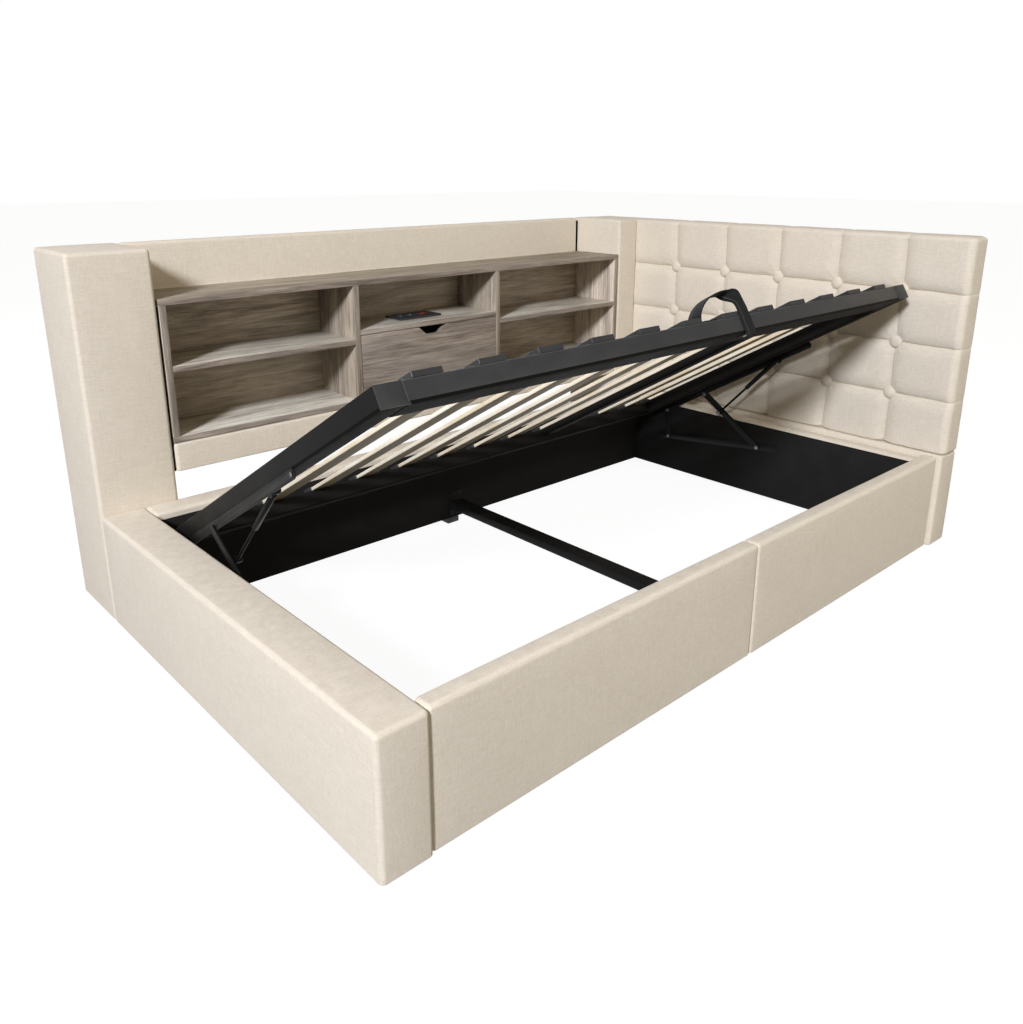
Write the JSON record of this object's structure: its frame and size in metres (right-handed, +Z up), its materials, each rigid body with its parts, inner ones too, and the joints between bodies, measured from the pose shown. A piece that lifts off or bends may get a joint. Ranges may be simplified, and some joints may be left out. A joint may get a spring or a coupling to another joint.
{
  "type": "ottoman storage bed",
  "caption": "Upholstered ottoman storage bed with a tufted headboard, a bookshelf back with a drawer and a power outlet, and a slatted frame that lifts on linked arms and gas struts.",
  "frame": {"origin": "on the floor under the middle of the overall length and depth", "axes": "+X from the footboard to the headboard, +Y from the front rail to the bookshelf, +Z up; the lift frame is raised"},
  "size_m": [2.23, 1.526, 0.982],
  "materials": {
    "linen": "woven linen-look cloth, oatmeal, matt",
    "plywood": "raw plywood",
    "black_board": "matt black board",
    "black_steel": "satin black powder coat",
    "black_plastic": "moulded black plastic",
    "oak": "grey-brown oak laminate, satin",
    "zinc_steel": "zinc-plated steel",
    "red_plastic": "red plastic",
    "strut_paint": "gloss black paint",
    "rod_steel": "polished rod",
    "slat_wood": "pale poplar plywood, satin",
    "webbing": "woven black webbing"
  },
  "bodies": {
    "bed": {"footboard_cover": "linen", "footboard_box": "plywood", "head_panel_cover": "linen", "headboard_cover": "linen", "headboard_box": "plywood", "tufted_pad": "linen", "tuft_buttons": "linen", "foot_column_cover": "linen", "head_column_cover": "linen", "column_boxes": "plywood", "back_panel": "linen", "shelf_apron": "linen", "front_rail_foot_half": "linen", "front_rail_head_half": "linen", "back_rail": "linen", "head_ledge": "linen", "foot_liner": "black_board", "head_liner": "black_board", "back_liner": "black_board", "base_beam": "black_steel", "beam_hangers": "black_steel", "rail_brackets": "black_steel", "floor_glides": "black_plastic", "rear_middle_foot": "black_plastic", "shelf_top": "oak", "shelf_bottom": "oak", "shelf_sides": "oak", "shelf_dividers": "oak", "shelf_board_foot": "oak", "shelf_board_middle": "oak", "shelf_board_head": "oak", "shelf_back": "oak", "drawer_runners": "zinc_steel", "outlet_plate": "black_plastic", "foot_base_plate": "black_steel", "head_base_plate": "black_steel"},
    "head_front_link": {"head_front_link": "black_steel"},
    "lift_frame": {"frame_plates": "black_steel", "lift_front_tube": "black_steel", "lift_rear_tube": "black_steel", "lift_side_tubes": "black_steel", "lift_cross_tube": "black_steel", "slats": "slat_wood", "front_slat_holders": "black_plastic", "rear_slat_holders": "black_plastic", "tube_caps": "black_plastic", "pull_strap": "webbing", "strap_rivets": "zinc_steel"},
    "foot_front_link": {"foot_front_link": "black_steel"},
    "head_rear_link": {"head_rear_link": "black_steel"},
    "foot_rear_link": {"foot_rear_link": "black_steel"},
    "head_strut_cylinder": {"head_strut_cylinder": "strut_paint"},
    "foot_strut_cylinder": {"foot_strut_cylinder": "strut_paint"},
    "head_strut_rod": {"head_strut_rod": "rod_steel"},
    "foot_strut_rod": {"foot_strut_rod": "rod_steel"},
    "drawer": {"drawer_front": "oak", "drawer_box": "oak", "drawer_slides": "zinc_steel"},
    "rocker": {"outlet_rocker": "red_plastic"}
  },
  "joints": [
    {"name": "lift", "type": "hinge", "parent": "bed", "child": "head_front_link", "pos_m": [0.9496, -0.1341, 0.2054], "axis": [1, 0, 0], "range_deg": [-28.28, 0]},
    {"name": "frame_tilt", "type": "hinge", "parent": "head_front_link", "child": "lift_frame", "pos_m": [0.9496, 0.1036, 0.36154], "axis": [1, 0, 0], "range_deg": [0, 58.5]},
    {"name": "foot_front_swing", "type": "hinge", "parent": "bed", "child": "foot_front_link", "pos_m": [-0.9896, -0.1341, 0.2054], "axis": [1, 0, 0], "range_deg": [-28.3, 0]},
    {"name": "head_rear_swing", "type": "hinge", "parent": "bed", "child": "head_rear_link", "pos_m": [0.9496, 0.2645, 0.162], "axis": [1, 0, 0], "range_deg": [-43.44, 0]},
    {"name": "foot_rear_swing", "type": "hinge", "parent": "bed", "child": "foot_rear_link", "pos_m": [-0.9896, 0.2645, 0.162], "axis": [1, 0, 0], "range_deg": [-43.44, 0]},
    {"name": "head_strut_turn", "type": "hinge", "parent": "head_front_link", "child": "head_strut_rod", "pos_m": [0.932, 0.02278, 0.30845], "axis": [1, 0, 0], "range_deg": [0, 72.3]},
    {"name": "foot_strut_turn", "type": "hinge", "parent": "foot_front_link", "child": "foot_strut_rod", "pos_m": [-0.972, 0.02278, 0.30845], "axis": [1, 0, 0], "range_deg": [0, 72.3]},
    {"name": "head_strut_stroke", "type": "slide", "parent": "head_strut_rod", "child": "head_strut_cylinder", "axis": [0, -0.6868, 0.7268], "range_m": [-0.0659, 0]},
    {"name": "foot_strut_stroke", "type": "slide", "parent": "foot_strut_rod", "child": "foot_strut_cylinder", "axis": [0, -0.6868, 0.7268], "range_m": [-0.0659, 0]},
    {"name": "drawer_slide", "type": "slide", "parent": "bed", "child": "drawer", "axis": [0, -1, 0], "range_m": [0, 0.17]},
    {"name": "rocker_tip", "type": "hinge", "parent": "bed", "child": "rocker", "pos_m": [0.02, 0.618, 0.699], "axis": [0, 1, 0], "range_deg": [0, 14]}
  ],
  "couplings": [
    {"joint": "frame_tilt", "follows": "lift", "ratio": -2.0678},
    {"joint": "foot_front_swing", "follows": "lift", "ratio": 1},
    {"joint": "head_rear_swing", "follows": "lift", "ratio": 1.5352},
    {"joint": "foot_rear_swing", "follows": "lift", "ratio": 1.5352},
    {"joint": "head_strut_turn", "follows": "lift", "ratio": -2.5556},
    {"joint": "foot_strut_turn", "follows": "lift", "ratio": -2.5556},
    {"joint": "head_strut_stroke", "follows": "lift", "m_per_rad": 0.13339},
    {"joint": "foot_strut_stroke", "follows": "lift", "m_per_rad": 0.13339}
  ]
}
